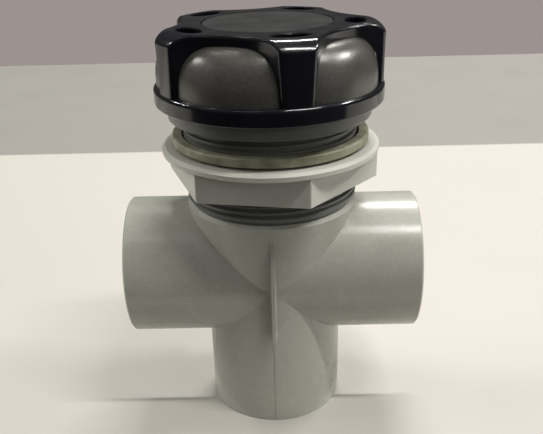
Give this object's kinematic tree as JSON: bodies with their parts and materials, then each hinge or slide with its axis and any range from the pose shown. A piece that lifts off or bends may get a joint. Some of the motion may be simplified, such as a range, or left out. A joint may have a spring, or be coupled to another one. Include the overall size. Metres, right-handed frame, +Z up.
{
  "type": "three way diverter valve",
  "caption": "Three way plastic diverter valve: a tee of slip sockets under a threaded wall fitting with a flange nut, gasket and five-lobed star handle.",
  "frame": {"origin": "on the upright axis, at the mouth plane of the bottom socket, which stands on the floor", "axes": "+Z up along the stem to the handle, +X out of the right side socket, -Y towards the front"},
  "size_m": [0.1452, 0.1076, 0.1997],
  "materials": {
    "light_grey_pvc": "semi-gloss",
    "dark_grey_pvc": "satin",
    "nut_plastic": "satin",
    "olive_rubber": "matte",
    "black_rubber": "matte",
    "stem_plastic": "satin",
    "stainless_steel": "brushed",
    "bearing_plastic": "matte",
    "gate_plastic": "satin",
    "pearl_grey_plastic": "satin pearl",
    "gloss_black_plastic": "gloss",
    "disc_plastic": "gloss"
  },
  "bodies": {
    "valve_body": {"body": "light_grey_pvc", "threaded_neck": "dark_grey_pvc", "bonnet": "dark_grey_pvc", "bonnet_o_ring": "black_rubber", "bonnet_ring": "dark_grey_pvc"},
    "handle": {"stem": "stem_plastic", "stem_o_ring_lower": "black_rubber", "stem_o_ring_upper": "black_rubber", "stem_clip": "stainless_steel", "thrust_washer": "bearing_plastic", "diverter_gate": "gate_plastic", "gate_seal": "black_rubber", "gate_pin": "stainless_steel", "upper_guide_ring": "bearing_plastic", "lower_guide_ring": "bearing_plastic", "handle_core": "pearl_grey_plastic", "handle_cover": "gloss_black_plastic", "cap_disc": "disc_plastic", "handle_screw": "stainless_steel", "screw_washer": "stainless_steel"},
    "gasket": {"shell_gasket": "olive_rubber"},
    "nut": {"flange_nut": "nut_plastic"}
  },
  "joints": [
    {"name": "handle_turn", "type": "hinge", "parent": "valve_body", "child": "handle", "pos_m": [0, 0, 0.1783], "axis": [0, 0, 1], "range_deg": [0, 180]},
    {"name": "nut_lift", "type": "slide", "parent": "valve_body", "child": "gasket", "axis": [0, 0, 1], "range_m": [-0.0093, 0.0075]},
    {"name": "nut_turn", "type": "hinge", "parent": "gasket", "child": "nut", "pos_m": [0, 0, 0.1364], "axis": [0, 0, 1], "range_deg": [-1080, 870]}
  ],
  "couplings": [
    {"joint": "nut_lift", "follows": "nut_turn", "m_per_rad": 0.00049338}
  ]
}
